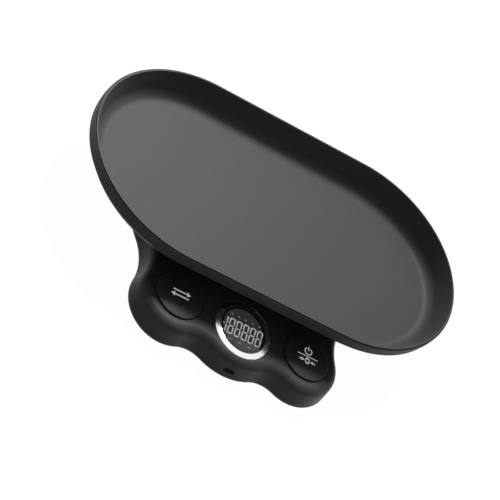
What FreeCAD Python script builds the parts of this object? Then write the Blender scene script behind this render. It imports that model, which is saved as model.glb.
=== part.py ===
"""Digital baby weighing scale: a lift-off tray on a low base with a three-lobed front panel.

Millimetres, +Z up, front towards -Y. The pieces are modelled about the weighing axis, which
is the middle of the tray, and are shifted as they are written, so that the origin lies on the
resting plane at the middle of the whole scale's box.
"""
import FreeCAD, Part
import os
from math import atan2, cos, pi, sin, sqrt, tan

Vector = FreeCAD.Vector

# Heights above the resting plane
overall_height = 60.0
panel_top = 25.0
parting_height = 7.0
foot_reach = 1.5

# Joining: how far forms that are fused run into each other, and how long a tool overshoots
weld = 0.5
overshoot = 1.0
near = 1e-4

# Tray
tray_length = 345.0
tray_width = 180.0
tray_end_length = 100.0
tray_depth = 21.6
tray_floor = 2.6
tray_wall = 2.4
wall_flare = 9.0
floor_sweep = 10.0
lip_width = 1.4
lip_height = 1.0
rim_reach = 1.2
rim_height = 4.8
rim_round = 0.6
rim_low_round = 0.35
skirt_reach = 0.5
skirt_height = 10.0
skirt_wall = 2.0
skirt_round = 0.6
channel_height = 4.0
lip_groove_width = 0.4
lip_groove_depth = 0.7
locating_ring_wall = 1.8
locating_ring_height = 3.4
locating_clearance = 0.8
tray_rib_wall = 1.6
tray_rib_height = 2.0

# Base outline
lobe_spacing = 119.5
lobe_radius = 34.0
lobe_back = 99.2
middle_lobe_radius = 50.0
middle_lobe_reach = 136.0
valley_radius = 26.0
waist_tuck = 4.0
waist_radius = 50.0
side_margin = 11.0
side_radius = 60.0
rear_margin = 14.0
rear_corner_radius = 45.0

# Housing shells
shell_wall = 2.4
shell_floor = 2.5
panel_round = 7.2
side_draft = 0.14
bottom_flare = 0.65
bottom_round = 4.0
tongue_wall = 1.0
tongue_height = 2.0
tongue_root_drop = 1.0
shell_clearance = 0.15

# Press buttons
button_hole_radius = 21.6
button_gap = 0.9
button_travel = 0.8
button_rise = 1.7
button_crown = 1.0
button_edge_round = 0.7
cap_wall = 2.2
cap_rib_wall = 1.6
flange_reach = 1.3
flange_thickness = 1.3
flange_clearance = 0.3
skirt_drop = 4.1
well_clearance = 0.4
well_wall = 1.6
stem_radius = 2.6
key_width = 2.4
key_depth = 1.0
key_clearance = 0.3
key_weld = 0.3

# Display
display_back = 102.3
ring_radius = 25.4
ring_rise = 1.2
ring_edge = 0.25
ring_bulge = 0.78
lens_radius = 20.0
lens_clearance = 0.2
lens_thickness = 1.6
lens_sink = 0.3
ring_ledge = 0.8
ring_seat = 2.0
ring_spigot = 3.2
ring_clearance = 0.3
snap_reach = 0.9
snap_thickness = 0.5
snap_span = 24.0
snap_turns = (30, 150, 270)
lcd_thickness = 1.8
lcd_clearance = 0.3
holder_width = 46.0
holder_depth = 41.0
holder_corner = 3.0
holder_wall = 1.4
holder_foot = 1.0
holder_clearance = 1.0
guide_thickness = 1.8
guide_clearance = 0.3
guide_corner = 1.0

# Main board
board_height = 13.9
board_thickness = 1.6
board_wing_width = 140.0
board_wing_front = 110.0
board_wing_rear = 86.0
board_middle_width = 48.0
board_middle_front = 124.0
board_middle_rear = 80.0
board_tongue_width = 18.0
board_tongue_front = 130.5
board_corner = 2.0
board_screw_spots = ((38.0, -90.0), (66.0, -104.5))
switch_side = 6.2
switch_height = 2.9
switch_corner = 0.6
plunger_room = 0.4
plunger_edge = 0.2
plunger_radius = 1.75
plunger_clearance = 0.15
plunger_stand = 1.0
connector_x = 28.5
connector_width = 8.0
connector_depth = 4.5
connector_height = 3.3
connector_inset = 0.5

# Charging socket
socket_width = 8.94
socket_height = 3.16
socket_depth = 7.4
socket_wall = 0.35
socket_back_wall = 1.0
socket_tongue_inset = 0.8
socket_mouth = 1.3
socket_tongue_width = 6.7
socket_tongue_thickness = 0.7
port_width = 10.8
port_height = 4.2
port_room_depth = 3.0

# Load cell
cell_length = 80.0
cell_side = 12.7
cell_hole_radius = 4.4
cell_hole_spacing = 14.0
cell_slot_height = 3.0
cell_bolt_inset = 6.0
cell_bolt_pitch = 14.0
cell_seat_length = 26.0
cell_plate_thickness = 1.2
cell_seat_height = 6.0
seat_margin = 2.5
seat_corner = 3.0
gauge_cover_length = 24.0
gauge_cover_thickness = 1.2
gauge_cover_margin = 1.0
gauge_cover_round = 0.8

# Platform
platform_width = 190.0
platform_depth = 112.0
platform_corner = 30.0
platform_plate = 2.4
platform_skirt = 2.2
platform_clearance = 2.2
platform_rib_wall = 1.6
platform_rib_height = 4.0
block_gap = 2.4
boss_margin = 2.2
pad_radius = 7.0
pad_thickness = 2.0
pad_sink = 0.8
pad_edge = 0.4
pad_spots = ((74.0, 36.0), (-74.0, 36.0), (-74.0, -36.0), (74.0, -36.0))
opening_margin = 3.4
opening_corner = 3.0
platform_edge_round = 1.2
collar_wall = 1.6
collar_height = 1.4
stop_radius = 3.0
stop_gap = 0.8
stop_y = 20.0

# Battery
battery_length = 62.0
battery_width = 34.0
battery_thickness = 7.0
battery_round = 2.8
battery_front = 24.0
battery_pad_thickness = 0.6
battery_pad_margin = 3.0
cradle_wall = 1.4
cradle_height = 5.0
cradle_clearance = 0.5
cradle_corner = 0.8

# Fasteners and feet
head_round = 0.4
bolt_bite = 8.9
m4_radius = 2.0
m4_hole = 2.15
m4_head_radius = 3.5
m4_head_height = 2.3
m4_recess_radius = 3.9
m4_recess_depth = 2.7
m3_radius = 1.25
m3_hole = 1.35
m3_clear_hole = 1.55
m3_head_radius = 2.8
m3_head_height = 2.1
m3_recess_radius = 3.2
boss_radius = 4.0
upper_boss_radius = 3.8
boss_joint = 10.0
boss_shelf = 2.0
boss_bite = 9.0
housing_screw_spots = ((46.0, 58.0), (96.0, 5.0), (31.0, -115.0))
board_post_radius = 2.9
m2_radius = 1.0
m2_hole = 1.1
m2_head_radius = 2.3
m2_head_height = 1.5
m2_bite = 5.0
foot_radius = 8.0
foot_sink = 0.7
foot_clearance = 0.2
foot_edge_round = 0.6
foot_spots = ((80.0, 44.0), (60.0, -104.0))
floor_rib_wall = 1.6
floor_rib_height = 2.4
floor_rib_spots = (-38.0, -64.0)

# Leads inside the base
lead_radius = 1.2
cell_lead_route = (
    (-30.0, -22.0, 12.6),
    (-33.0, -42.0, 10.4),
    (-31.0, -57.0, 11.4),
)
battery_lead_route = (
    (45.0, 37.0, 8.0),
    (54.0, 20.0, 8.4),
    (56.0, -6.0, 8.4),
    (51.0, -32.0, 8.6),
    (38.0, -56.0, 9.8),
)
lead_last_run = 12.0
bend_share = 0.45

# Worked out from the sizes above
lip_top = overall_height
shoulder_height = lip_top - lip_height
floor_top = lip_top - tray_depth
tray_bottom = floor_top - tray_floor
platform_top = tray_bottom - pad_thickness + pad_sink
platform_under = platform_top - platform_plate
platform_low = panel_top + platform_clearance
base_width = platform_width + 2 * side_margin
base_rear = platform_depth / 2 + rear_margin
block_top = panel_top + block_gap
panel_under = panel_top - shell_wall
shell_bottom = foot_reach
floor_level = shell_bottom + shell_floor
cell_low = cell_seat_height + cell_plate_thickness
cell_high = cell_low + cell_side
cell_seat_middle = cell_length / 2 - cell_seat_length / 2
cell_bolt_x = (cell_length / 2 - cell_bolt_inset, cell_length / 2 - cell_bolt_inset - cell_bolt_pitch)
board_top = board_height + board_thickness
connector_face = -board_wing_rear - connector_inset
button_x = lobe_spacing / 2
waist_side = button_x + lobe_radius - waist_tuck
cap_radius = button_hole_radius - button_gap
flange_top = panel_under - flange_clearance
well_radius = cap_radius + flange_reach + well_clearance + button_gap
cap_flange_radius = well_radius - well_clearance
skirt_low = panel_under - flange_clearance - skirt_drop
well_low = skirt_low - button_travel + 0.2
plunger_top = board_top + switch_height + plunger_stand
ring_top = panel_top + ring_rise
ring_low = panel_top - ring_spigot
ring_neck = ring_radius - ring_seat
lens_top = ring_top - lens_sink
lcd_top = lens_top - lens_thickness
lcd_under = lcd_top - lcd_thickness
ledge_radius = lens_radius - ring_ledge
lcd_radius = ledge_radius - lcd_clearance
holder_shoulder = ring_low - holder_clearance
socket_middle = board_height - socket_height / 2
front_wall = -middle_lobe_reach - bottom_flare + side_draft * (socket_middle - shell_bottom)
origin_shift = (middle_lobe_reach + bottom_flare - tray_width / 2 - rim_reach) / 2


def save(name, shape):
    """Writes one node, moved to the frame whose origin is the middle of the whole scale."""
    placed = shape.copy()
    placed.translate(Vector(0, origin_shift, 0))
    placed.exportStep("parts/" + name + ".step")
    print(name, len(placed.Solids), "solid(s)", round(placed.Volume, 1), "mm3", placed.isValid())


def box(x0, x1, y0, y1, z0, z1):
    return Part.makeBox(x1 - x0, y1 - y0, z1 - z0, Vector(x0, y0, z0))


def rod(x, y, z0, z1, radius):
    return Part.makeCylinder(radius, z1 - z0, Vector(x, y, z0))


def both_sides(spots):
    """The spots and their mirror images in the middle plane."""
    return [(side * x, y) for x, y in spots for side in (1, -1)]


def joined(shapes):
    return shapes[0].multiFuse(shapes[1:]).removeSplitter()


def edges_at(shape, height):
    """The edges that lie wholly at one height."""
    flat = []
    for edge in shape.Edges:
        limits = edge.BoundBox
        if abs(limits.ZMin - height) < near and abs(limits.ZMax - height) < near:
            flat.append(edge)
    return flat


def arc(centre, radius, start, end, z):
    """The arc about centre from angle start to angle end, either way round."""
    def at(angle):
        return Vector(centre[0] + radius * cos(angle), centre[1] + radius * sin(angle), z)
    return Part.Arc(at(start), at((start + end) / 2), at(end)).toShape()


def line(start, end):
    return Part.LineSegment(start, end).toShape()


def angle_to(start, end):
    return atan2(end[1] - start[1], end[0] - start[0])


def touching(first, first_reach, second, second_reach, side):
    """A point at the two given distances from two centres, on the side that is asked for."""
    apart = sqrt((second[0] - first[0]) ** 2 + (second[1] - first[1]) ** 2)
    along = (first_reach ** 2 - second_reach ** 2 + apart ** 2) / (2 * apart)
    off = side * sqrt(first_reach ** 2 - along ** 2)
    ux = (second[0] - first[0]) / apart
    uy = (second[1] - first[1]) / apart
    return (first[0] + ux * along - uy * off, first[1] + uy * along + ux * off)


def rounded_plan(width, depth, radius, z, middle=(0.0, 0.0)):
    """A closed rounded rectangle."""
    x = width / 2 - radius
    y = depth / 2 - radius
    edges = []
    for quarter, (sx, sy) in enumerate(((1, 1), (-1, 1), (-1, -1), (1, -1))):
        corner = (middle[0] + sx * x, middle[1] + sy * y)
        edges.append(arc(corner, radius, quarter * pi / 2, (quarter + 1) * pi / 2, z))
    runs = []
    for quarter in range(4):
        start = edges[quarter].Vertexes[-1].Point
        end = edges[(quarter + 1) % 4].Vertexes[0].Point
        runs.append(line(start, end))
    return Part.Wire([piece for pair in zip(edges, runs) for piece in pair])


def rounded_block(width, depth, radius, z0, z1, middle=(0.0, 0.0)):
    return Part.Face(rounded_plan(width, depth, radius, z0, middle)).extrude(Vector(0, 0, z1 - z0))


def tray_end(offset, z, side):
    """One end of the tray's plan: half an ellipse, right end for side 1 and left end for -1."""
    middle = Vector(side * (tray_length / 2 - tray_end_length), 0, z)
    along = tray_end_length + offset
    across = tray_width / 2 + offset
    tip = middle + Vector(side * along, 0, 0)
    flank = middle + Vector(0, side * across, 0)
    if abs(along - across) < near:
        return Part.Arc(middle - Vector(0, side * across, 0), tip, flank).toShape()
    if along > across:
        curve = Part.Ellipse(tip, flank, middle)
        return Part.ArcOfEllipse(curve, -pi / 2, pi / 2).toShape()
    curve = Part.Ellipse(flank, middle - Vector(side * along, 0, 0), middle)
    return Part.ArcOfEllipse(curve, -pi, 0).toShape()


def tray_plan(offset, z):
    """The tray's plan, moved outwards by offset."""
    right = tray_end(offset, z, 1)
    left = tray_end(offset, z, -1)
    back = line(right.Vertexes[-1].Point, left.Vertexes[0].Point)
    front = line(left.Vertexes[-1].Point, right.Vertexes[0].Point)
    return Part.Wire([right, back, left, front])


def tray_block(offset, z0, z1):
    return Part.Face(tray_plan(offset, z0)).extrude(Vector(0, 0, z1 - z0))


def tray_bowl(top_offset, bottom_offset, z_bottom, z_top, sweep):
    """A flared bowl form with a large swept edge round its bottom."""
    form = Part.makeLoft([tray_plan(bottom_offset, z_bottom), tray_plan(top_offset, z_top)], True, True)
    return form.makeFillet(sweep, edges_at(form, z_bottom))


def tray():
    inner_top = -lip_width
    inner_bottom = inner_top - wall_flare
    outer_top = inner_top + tray_wall
    outer_bottom = inner_bottom + tray_wall
    outside = tray_bowl(outer_top, outer_bottom, tray_bottom, shoulder_height, floor_sweep + tray_wall)
    rim_low = shoulder_height - rim_height
    rim = tray_block(rim_reach, rim_low, shoulder_height)
    rim = rim.makeFillet(rim_round, edges_at(rim, shoulder_height))
    rim = rim.makeFillet(rim_low_round, edges_at(rim, rim_low))
    groove_low = shoulder_height - lip_groove_depth
    rim = rim.cut(tray_block(lip_groove_width, groove_low, shoulder_height))
    lip = tray_block(0, groove_low - weld, lip_top)
    inside = tray_bowl(inner_top, inner_bottom, floor_top, lip_top, floor_sweep)
    outside = outside.cut(tray_block(2 * rim_reach, shoulder_height - rim_height / 2, shoulder_height))
    skirt_low = shoulder_height - skirt_height
    skirt = tray_block(skirt_reach, skirt_low, rim_low + weld)
    skirt = skirt.cut(tray_block(skirt_reach - skirt_wall, skirt_low, skirt_low + channel_height))
    skirt = skirt.makeFillet(skirt_round, edges_at(skirt, skirt_low))
    return joined([outside, rim, skirt, lip] + tray_underside()).cut(inside)


def tray_underside():
    """The ring that drops round the platform, and ribs from it to the swept edge."""
    gap = 2 * locating_clearance
    inner = (platform_width + gap, platform_depth + gap, platform_corner + locating_clearance)
    wall = 2 * locating_ring_wall
    low = tray_bottom - locating_ring_height
    ring = rounded_block(inner[0] + wall, inner[1] + wall, inner[2] + wall / 2, low, floor_top)
    ring = ring.cut(rounded_block(*inner, low, tray_bottom))
    reach = tray_length / 2 - floor_sweep - wall_flare
    rib_low = tray_bottom - tray_rib_height
    start = inner[0] / 2 + locating_ring_wall / 2
    ribs = []
    for side in (1, -1):
        for y in (-platform_depth / 4, 0, platform_depth / 4):
            ends = sorted((side * start, side * (reach - abs(y) / 2)))
            ribs.append(box(*ends, y - tray_rib_wall / 2, y + tray_rib_wall / 2, rib_low, floor_top))
    return [ring] + ribs


def base_centres():
    """The centres of the arcs of the base's plan, right half, from the front to the back."""
    middle = (0.0, middle_lobe_radius - middle_lobe_reach)
    lobe = (button_x, -lobe_back)
    reach = middle_lobe_radius + valley_radius
    valley = touching(middle, reach, lobe, lobe_radius + valley_radius, -1)
    waist_x = waist_side + waist_radius
    drop = sqrt((lobe_radius + waist_radius) ** 2 - (waist_x - lobe[0]) ** 2)
    waist = (waist_x, lobe[1] + drop)
    side_x = base_width / 2 - side_radius
    rise = sqrt((waist_radius + side_radius) ** 2 - (waist_x - side_x) ** 2)
    flank = (side_x, waist[1] + rise)
    corner = (base_width / 2 - rear_corner_radius, base_rear - rear_corner_radius)
    return middle, valley, lobe, waist, flank, corner


def base_plan(inset, z):
    """The base's plan: three lobes in front, a waist each side and a rounded back."""
    middle, valley, lobe, waist, flank, corner = base_centres()
    lobe_out = angle_to(lobe, waist)
    valley_turn = angle_to(valley, middle)
    half = [
        arc(middle, middle_lobe_radius - inset, -pi / 2, angle_to(middle, valley), z),
        arc(valley, valley_radius + inset, valley_turn, angle_to(valley, lobe), z),
        arc(lobe, lobe_radius - inset, angle_to(lobe, valley), lobe_out, z),
        arc(waist, waist_radius + inset, lobe_out + pi, angle_to(waist, flank), z),
        arc(flank, side_radius - inset, angle_to(flank, waist), 0, z),
    ]
    edge_x = base_width / 2 - inset
    back_y = base_rear - inset
    half.append(line(Vector(edge_x, flank[1], z), Vector(edge_x, corner[1], z)))
    half.append(arc(corner, rear_corner_radius - inset, 0, pi / 2, z))
    half.append(line(Vector(corner[0], back_y, z), Vector(0, back_y, z)))
    other = [edge.mirror(Vector(0, 0, 0), Vector(1, 0, 0)) for edge in half]
    return Part.Wire(Part.__sortEdges__(half + other))


def base_block(inset, z0, z1):
    return Part.Face(base_plan(inset, z0)).extrude(Vector(0, 0, z1 - z0))


def base_inset(z):
    """How far the base's leaning side stands in from its plan at a height."""
    return side_draft * (z - shell_bottom) - bottom_flare


def base_form(wall, z0, z1):
    """The base's leaning outer form between two heights, or its room when a wall is given."""
    plans = [base_plan(base_inset(z) + wall, z) for z in (z0, z1)]
    return Part.makeLoft(plans, True, True)


def turned(points, middle):
    """A solid turned about an upright axis from (radius, height) points and rounded spans.

    A span is a pair of points: a point to pass through and the point that it ends at.
    """
    edges = []
    last = Vector(points[0][0], 0, points[0][1])
    for point in points[1:]:
        if isinstance(point[0], tuple):
            through = Vector(point[0][0], 0, point[0][1])
            end = Vector(point[1][0], 0, point[1][1])
            edges.append(Part.Arc(last, through, end).toShape())
        else:
            end = Vector(point[0], 0, point[1])
            edges.append(line(last, end))
        last = end
    edges.append(line(last, Vector(points[0][0], 0, points[0][1])))
    form = Part.Face(Part.Wire(edges)).revolve(Vector(0, 0, 0), Vector(0, 0, 1), 360)
    form.translate(Vector(middle[0], middle[1], 0))
    return form


def port_form(width, height, y0, y1):
    """A flat-sided form with round ends, lying along Y at the charging socket's height."""
    plan = rounded_plan(width, height, height / 2 - near, 0)
    form = Part.Face(plan).extrude(Vector(0, 0, y1 - y0))
    form.rotate(Vector(0, 0, 0), Vector(1, 0, 0), 90)
    form.translate(Vector(0, y1, socket_middle))
    return form


def upper_housing():
    outer = base_form(0, parting_height, panel_top)
    outer = outer.makeFillet(panel_round, edges_at(outer, panel_top))
    room = base_form(shell_wall, parting_height, panel_under)
    room = room.makeFillet(panel_round - shell_wall, edges_at(room, panel_under))
    inner = []
    added = []
    port_back = front_wall + shell_wall + overshoot
    removed = [port_form(port_width, port_height, front_wall - overshoot, port_back)]
    for side in (1, -1):
        spot = (side * button_x, -lobe_back)
        inner.append(rod(*spot, well_low, panel_top, well_radius + well_wall))
        removed.append(rod(*spot, well_low, panel_under, well_radius))
        removed.append(rod(*spot, panel_under, panel_top, button_hole_radius))
    removed.append(rod(0, -display_back, panel_under, panel_top, ring_neck + ring_clearance))
    width = cell_seat_length + 2 * opening_margin
    depth = cell_side + 2 * opening_margin
    spot = (cell_seat_middle, 0)
    collar = (width + 2 * collar_wall, depth + 2 * collar_wall)
    collar_top = panel_top + collar_height
    added.append(rounded_block(*collar, opening_corner + collar_wall, panel_under, collar_top, spot))
    removed.append(rounded_block(width, depth, opening_corner, panel_under, collar_top, spot))
    for x, y in both_sides(((platform_width / 2 - platform_skirt / 2, stop_y),
                            (platform_width / 2 - platform_skirt / 2, -stop_y))):
        added.append(rod(x, y, panel_under, platform_low - stop_gap, stop_radius))
    for x, y in both_sides(housing_screw_spots):
        inner.append(rod(x, y, boss_joint, panel_under + weld, upper_boss_radius))
        removed.append(rod(x, y, boss_joint, boss_joint + boss_bite + overshoot, m3_hole))
    shell = outer.cut(room).multiFuse([outer.common(joined_tools(inner))] + added)
    return shell.cut(joined_tools(removed)).fuse(well_keys()).removeSplitter()


def joined_tools(shapes):
    return shapes[0].multiFuse(shapes[1:])


def well_keys():
    """An upright key in each button's well, which stops the button from turning."""
    keys = []
    for side in (1, -1):
        y = -lobe_back + well_radius
        x = side * button_x
        half = key_width / 2
        keys.append(box(x - half, x + half, y - key_depth, y + key_weld, well_low, panel_under))
    return keys


def lower_housing():
    shell = base_form(0, shell_bottom, parting_height)
    shell = shell.makeFillet(bottom_round, edges_at(shell, shell_bottom))
    shell = shell.cut(base_form(shell_wall, floor_level, parting_height))
    tongue_top = parting_height + tongue_height
    start = base_inset(tongue_top) + shell_wall + shell_clearance
    low = floor_level - weld
    root_top = parting_height - tongue_root_drop
    tongue = base_block(start, low, tongue_top)
    tongue = tongue.cut(base_block(start + tongue_wall, low, tongue_top))
    foot_of_tongue = base_block(shell_wall - weld, low, root_top)
    foot_of_tongue = foot_of_tongue.cut(base_block(start + weld, low, root_top))
    port_room = port_form(port_width, port_height, front_wall, front_wall + shell_wall + port_room_depth)
    added = [tongue.cut(port_room), foot_of_tongue]
    removed = []
    seat_x = -cell_seat_middle
    seat = (cell_seat_length + 2 * seat_margin, cell_side + 2 * seat_margin)
    added.append(rounded_block(*seat, seat_corner, shell_bottom + overshoot, cell_seat_height, (seat_x, 0)))
    for x in cell_bolt_x:
        removed.append(rod(-x, 0, shell_bottom, cell_seat_height, m4_hole))
        removed.append(rod(-x, 0, shell_bottom, shell_bottom + m4_recess_depth, m4_recess_radius))
    for x, y in both_sides(housing_screw_spots):
        added.append(rod(x, y, shell_bottom + overshoot, boss_joint, boss_radius))
        removed.append(rod(x, y, shell_bottom, boss_joint, m3_clear_hole))
        removed.append(rod(x, y, shell_bottom, boss_joint - boss_shelf, m3_recess_radius))
    for x, y in both_sides(board_screw_spots):
        added.append(rod(x, y, low, board_height, board_post_radius))
        removed.append(rod(x, y, board_height - m2_bite - overshoot, board_height, m2_hole))
    for x, y in both_sides(foot_spots):
        removed.append(rod(x, y, shell_bottom, shell_bottom + foot_sink, foot_radius + foot_clearance))
    added += battery_cradle() + floor_ribs()
    return joined([shell] + added).cut(joined_tools(removed))


def battery_cradle():
    middle = (0, battery_front + battery_width / 2)
    gap = 2 * cradle_clearance
    inner = (battery_length + gap, battery_width + gap)
    outer = (inner[0] + 2 * cradle_wall, inner[1] + 2 * cradle_wall)
    low = floor_level - weld
    high = floor_level + cradle_height
    wall = rounded_block(*outer, cradle_corner + cradle_wall, low, high, middle)
    wall = wall.cut(rounded_block(*inner, cradle_corner, low, high, middle))
    gate = battery_width / 4
    wall = wall.cut(box(0, outer[0], middle[1] - gate, middle[1] + gate, floor_level, high))
    wall = wall.cut(box(-gate, gate, 0, 2 * middle[1], floor_level, high))
    return [wall]


def floor_ribs():
    ribs = []
    for y in floor_rib_spots:
        reach = waist_side - 2 * shell_wall
        rib = box(-reach, reach, y, y + floor_rib_wall, floor_level - weld, floor_level + floor_rib_height)
        ribs.append(rib)
    return ribs


def button_cap(side):
    """A crowned round key with a skirt that runs in the housing's well and a stem below it."""
    edge_z = panel_top + button_rise
    crown_z = edge_z + button_crown
    rim = cap_radius - button_edge_round
    rounding = button_edge_round * (1 - sin(pi / 4))
    flange_low = flange_top - flange_thickness
    inner = cap_radius - cap_wall
    skirt_inner = cap_flange_radius - flange_thickness
    under = crown_z - button_crown - cap_wall
    middle = (side * button_x, -lobe_back)
    cap = turned([
        (0, crown_z),
        ((rim / 2, crown_z - button_crown / 4), (rim, edge_z)),
        ((cap_radius - rounding, edge_z - rounding), (cap_radius, edge_z - button_edge_round)),
        (cap_radius, flange_top),
        (cap_flange_radius, flange_top),
        (cap_flange_radius, skirt_low),
        (skirt_inner, skirt_low),
        (skirt_inner, flange_low),
        (inner, flange_low),
        (inner, under),
        (stem_radius, under),
        (stem_radius, plunger_top),
        (0, plunger_top),
    ], middle)
    ribs = []
    for long_x in (True, False):
        reach = inner + weld
        half = cap_rib_wall / 2
        sides = (reach, half) if long_x else (half, reach)
        rib_low = flange_low + flange_clearance
        rib = box(-sides[0], sides[0], -sides[1], sides[1], rib_low, under + flange_clearance)
        rib.translate(Vector(middle[0], middle[1], 0))
        ribs.append(rib)
    key_room = box(middle[0] - key_width / 2 - key_clearance, middle[0] + key_width / 2 + key_clearance,
                   middle[1] + well_radius - key_depth - key_clearance, middle[1] + well_radius,
                   skirt_low, flange_top)
    return joined([cap] + ribs).cut(key_room)


def display_ring():
    """A polished ring that lies on the panel, with a stepped bore that seats the lens."""
    bore = lens_radius + lens_clearance
    crown = (ring_radius - (ring_radius - bore) / 2, panel_top + ring_rise * ring_bulge)
    ring = turned([
        (ring_radius, panel_top),
        (ring_radius, panel_top + ring_edge),
        (crown, (bore + ring_edge, ring_top)),
        (bore, ring_top - ring_edge),
        (bore, lcd_top),
        (ledge_radius, lcd_top),
        (ledge_radius, ring_low),
        (ring_neck, ring_low),
        (ring_neck, panel_top),
    ], (0, -display_back))
    snaps = []
    snap_top = panel_under - shell_clearance
    for turn in snap_turns:
        snap_low = Vector(0, 0, snap_top - snap_thickness)
        hook = Part.makeCylinder(ring_neck + snap_reach, snap_thickness, snap_low, Vector(0, 0, 1), snap_span)
        hook = hook.cut(rod(0, 0, ring_low, panel_top, ring_neck - weld))
        hook.rotate(Vector(0, 0, 0), Vector(0, 0, 1), turn - snap_span / 2)
        hook.translate(Vector(0, -display_back, 0))
        snaps.append(hook)
    return joined([ring] + snaps)


def display_lens():
    lens = rod(0, -display_back, lcd_top, lens_top, lens_radius)
    return lens.makeChamfer(ring_edge, edges_at(lens, lens_top))


def lcd_panel():
    return rod(0, -display_back, lcd_under, lcd_top, lcd_radius)


def display_holder():
    """The white light box that stands on the board: a square foot with a round tower for the display."""
    spot = (0, -display_back)
    tower = rod(*spot, board_top, lcd_under, lcd_radius)
    form = rounded_block(holder_width, holder_depth, holder_corner, board_top, holder_shoulder, spot)
    form = form.fuse(tower)
    gap = 2 * holder_wall
    inner = (holder_width - gap, holder_depth - gap, holder_corner - holder_wall)
    room = rounded_block(*inner, board_top + holder_foot, holder_shoulder - holder_wall, spot)
    return form.cut(room).cut(rod(*spot, board_top + holder_foot, lcd_under, lcd_radius - holder_wall))


def light_guide():
    spot = (0, -display_back)
    gap = 2 * (holder_wall + guide_clearance)
    low = board_top + holder_foot
    size = (holder_width - gap, holder_depth - gap)
    return rounded_block(*size, guide_corner, low, low + guide_thickness, spot)


def main_board():
    wing = box(-board_wing_width / 2, board_wing_width / 2, -board_wing_front, -board_wing_rear,
               board_height, board_top)
    middle = box(-board_middle_width / 2, board_middle_width / 2, -board_middle_front, -board_middle_rear,
                 board_height, board_top)
    tongue_back = -board_middle_front + overshoot
    tongue = box(-board_tongue_width / 2, board_tongue_width / 2, -board_tongue_front, tongue_back,
                 board_height, board_top)
    board = joined([wing, middle, tongue])
    corners = []
    for edge in board.Edges:
        limits = edge.BoundBox
        if limits.ZLength > board_thickness - near and limits.XLength < near and limits.YLength < near:
            corners.append(edge)
    board = board.makeFillet(board_corner, corners)
    holes = [rod(x, y, board_height, board_top, m2_hole) for x, y in both_sides(board_screw_spots)]
    return board.cut(joined_tools(holes))


def switch_body(side):
    spot = (side * button_x, -lobe_back)
    top = board_top + switch_height
    body = rounded_block(switch_side, switch_side, switch_corner, board_top, top, spot)
    bore_low = plunger_top - 2 * plunger_stand - button_travel - plunger_room
    bore = rod(*spot, bore_low, top, plunger_radius + plunger_clearance)
    return body.cut(bore)


def switch_plunger(side):
    spot = (side * button_x, -lobe_back)
    plunger = rod(*spot, plunger_top - 2 * plunger_stand, plunger_top, plunger_radius)
    return plunger.makeChamfer(plunger_edge, edges_at(plunger, plunger_top))


def board_connectors():
    sockets = []
    for side in (1, -1):
        x = side * connector_x
        half = connector_width / 2
        sockets.append(box(x - half, x + half, connector_face - connector_depth, connector_face,
                           board_top, board_top + connector_height))
    return Part.makeCompound(sockets)


def usb_socket():
    """The charging socket: a round-ended metal shell with a contact tongue inside."""
    mouth = front_wall + socket_mouth
    back = mouth + socket_depth
    shell = port_form(socket_width, socket_height, mouth, back)
    room = (socket_width - 2 * socket_wall, socket_height - 2 * socket_wall)
    hollow = port_form(*room, mouth, back - socket_back_wall)
    tongue = box(-socket_tongue_width / 2, socket_tongue_width / 2, mouth + socket_tongue_inset, back,
                 socket_middle - socket_tongue_thickness / 2, socket_middle + socket_tongue_thickness / 2)
    return shell.cut(hollow).fuse(tongue).removeSplitter()


def load_cell():
    """A bar that bends at the thin walls left by its double hole."""
    bar = box(-cell_length / 2, cell_length / 2, -cell_side / 2, cell_side / 2, cell_low, cell_high)
    level = (cell_low + cell_high) / 2
    tools = []
    for side in (1, -1):
        x = side * cell_hole_spacing / 2
        tools.append(Part.makeCylinder(cell_hole_radius, cell_side, Vector(x, -cell_side / 2, level),
                                       Vector(0, 1, 0)))
        for bolt in cell_bolt_x:
            tools.append(rod(side * bolt, 0, cell_low, cell_high, m4_hole))
    half = cell_slot_height / 2
    tools.append(box(-cell_hole_spacing / 2, cell_hole_spacing / 2, -cell_side / 2, cell_side / 2,
                     level - half, level + half))
    return bar.cut(joined_tools(tools))


def cell_seat(side, z0, z1):
    """A plate or block under or over one end of the load cell."""
    x = side * cell_seat_middle
    half = cell_seat_length / 2
    form = box(x - half, x + half, -cell_side / 2, cell_side / 2, z0, z1)
    holes = [rod(side * bolt, 0, z0, z1, m4_hole) for bolt in cell_bolt_x]
    return form.cut(joined_tools(holes))


def gauge_cover():
    """The soft white coat over the strain gauges on top of the bar."""
    half = gauge_cover_length / 2
    side = cell_side / 2 - gauge_cover_margin
    top = cell_high + gauge_cover_thickness
    coat = box(-half, half, -side, side, cell_high, top)
    return coat.makeFillet(gauge_cover_round, edges_at(coat, top))


def pan_screw(x, y, seat, tip, radius, head_radius, head_height, up):
    """A screw whose head bears at height seat and whose shank runs up or down to tip."""
    face = seat - head_height if up else seat + head_height
    shank = rod(x, y, *sorted((seat, tip)), radius)
    head = rod(x, y, *sorted((seat, face)), head_radius)
    head = head.makeFillet(head_height * head_round, edges_at(head, face))
    return shank.fuse(head).removeSplitter()


def cell_base_screws():
    seat = shell_bottom + m4_recess_depth
    tip = cell_low + bolt_bite
    return Part.makeCompound([pan_screw(-x, 0, seat, tip, m4_radius, m4_head_radius, m4_head_height, True)
                              for x in cell_bolt_x])


def cell_top_screws():
    seat = platform_top - m4_recess_depth
    tip = cell_high - bolt_bite
    return Part.makeCompound([pan_screw(x, 0, seat, tip, m4_radius, m4_head_radius, m4_head_height, False)
                              for x in cell_bolt_x])


def housing_screws():
    seat = boss_joint - boss_shelf
    tip = boss_joint + boss_bite
    return Part.makeCompound([pan_screw(x, y, seat, tip, m3_radius, m3_head_radius, m3_head_height, True)
                              for x, y in both_sides(housing_screw_spots)])


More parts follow.
